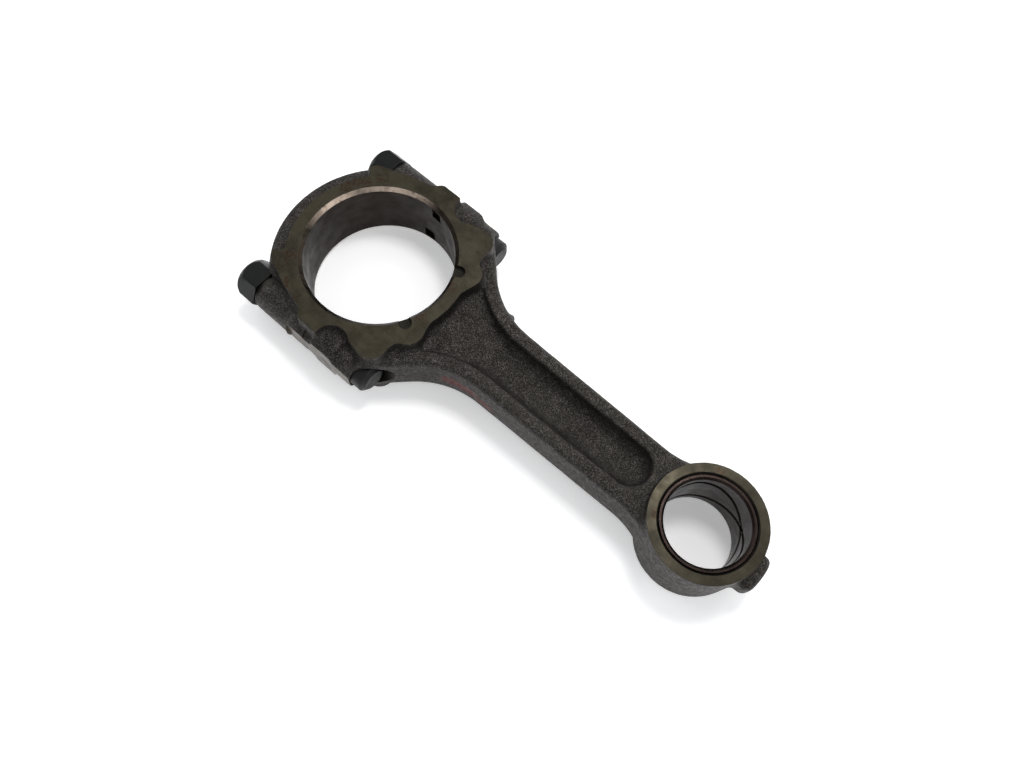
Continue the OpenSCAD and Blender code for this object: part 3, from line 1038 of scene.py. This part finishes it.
class SCENE_OT_rod_stage(bpy.types.Operator):
    """Set the pale floor, the soft lamps and the camera"""

    bl_idname = "scene.rod_stage"
    bl_label = "Stage"

    def execute(self, context):
        scene = context.scene
        s, c = scene.rod_sizes, scene.rod_colours
        white = (1.0, 1.0, 1.0)
        bm = bmesh.new()
        bmesh.ops.create_grid(bm, x_segments=1, y_segments=1, size=3.0)
        bmesh.ops.translate(bm, vec=(0.1, 0, -s.face - 0.00005), verts=bm.verts[:])
        paper = bpy.data.materials.new("Matt white paper")
        paper.use_nodes = True
        shader = paper.node_tree.nodes["Principled BSDF"].inputs
        shader["Base Color"].default_value = rgba(c.floor)
        shader["Roughness"].default_value = 0.9
        shader["Specular IOR Level"].default_value = 0.1
        # Lit from below a little, as on a light table, so that the shadows stay faint
        shader["Emission Color"].default_value = rgba(white)
        shader["Emission Strength"].default_value = 0.3
        floor = piece_from(bm, "floor", [paper])

        world = bpy.data.worlds.new("Soft room")
        world.use_nodes = True
        sky = world.node_tree.nodes["Background"].inputs
        sky["Color"].default_value = (0.94, 0.97, 1.0, 1.0)
        sky["Strength"].default_value = 0.36
        scene.world = world
        middle_point = Vector((s.pin_x / 2, 0, 0))
        # Place and size in metres, power in watts, colour
        lamps = (
            ("Key lamp", (0.03, 0.34, 0.95), 0.24, 4.2, (1.0, 0.98, 0.98)),
            ("Far lamp", (0.1, 1.2, 0.85), 1.4, 9.0, white),
            ("Near lamp", (0.3, -1.2, 0.8), 1.4, 4.0, white),
            ("Left lamp", (-1.1, 0.1, 0.8), 1.2, 6.0, white),
            ("Right lamp", (1.3, 0.2, 0.8), 1.2, 6.0, white),
        )
        for name, place, size, power, tone in lamps:
            data = bpy.data.lights.new(name, "AREA")
            data.shape = "SQUARE"
            data.size = size
            data.energy = power
            data.color = tone
            lamp = bpy.data.objects.new(name, data)
            lamp.location = place
            aim = middle_point - Vector(place)
            lamp.rotation_euler = aim.to_track_quat("-Z", "Y").to_euler()
            scene.collection.objects.link(lamp)

        # The camera looks along this heading, down by the tilt, and leans by the roll
        turn, tilt, roll = radians(126.441), radians(67.998), radians(-5.114)
        forward = Vector((cos(tilt) * cos(turn), cos(tilt) * sin(turn), -sin(tilt)))
        level = forward.cross(Vector((0, 0, 1))).normalized()
        down = forward.cross(level)
        right = cos(roll) * level + sin(roll) * down
        under = -sin(roll) * level + cos(roll) * down
        data = bpy.data.cameras.new("Camera")
        data.sensor_width = 36.0
        data.lens = 28.125
        data.clip_start = 0.01
        camera = bpy.data.objects.new("Camera", data)
        axes = Matrix((right, -under, -forward)).transposed().to_4x4()
        camera.matrix_world = Matrix.Translation((0.1714, -0.11621, 0.3497)) @ axes
        scene.collection.objects.link(camera)
        scene.camera = camera
        scene.view_settings.view_transform = "Standard"
        return {"FINISHED"}


OPERATORS = (
    MESH_OT_rod_forging,
    MESH_OT_rod_cap,
    MESH_OT_rod_bush,
    MESH_OT_rod_bolts,
    MESH_OT_rod_washers,
    MESH_OT_rod_nuts,
    SCENE_OT_rod_stage,
)


class VIEW3D_PT_rod(bpy.types.Panel):
    """Sidebar panel with the rod's sizes, colours and makers"""

    bl_label = "Connecting rod"
    bl_idname = "VIEW3D_PT_rod"
    bl_space_type = "VIEW_3D"
    bl_region_type = "UI"
    bl_category = "Connecting rod"

    def draw(self, context):
        for group in (context.scene.rod_sizes, context.scene.rod_colours):
            column = self.layout.column(align=True)
            for name in group.__annotations__:
                column.prop(group, name)
        for operator in OPERATORS:
            self.layout.operator(operator.bl_idname)


CLASSES = (RodSizes, RodColours, *OPERATORS, VIEW3D_PT_rod)


def register():
    for cls in CLASSES:
        bpy.utils.register_class(cls)
    bpy.types.Scene.rod_sizes = bpy.props.PointerProperty(type=RodSizes)
    bpy.types.Scene.rod_colours = bpy.props.PointerProperty(type=RodColours)


def unregister():
    del bpy.types.Scene.rod_colours
    del bpy.types.Scene.rod_sizes
    for cls in reversed(CLASSES):
        bpy.utils.unregister_class(cls)


def main():
    register()
    bpy.ops.mesh.rod_forging()
    bpy.ops.mesh.rod_cap()
    bpy.ops.mesh.rod_bush()
    bpy.ops.mesh.rod_bolts()
    bpy.ops.mesh.rod_washers()
    bpy.ops.mesh.rod_nuts()
    bpy.ops.scene.rod_stage()


if __name__ == "__main__":
    main()
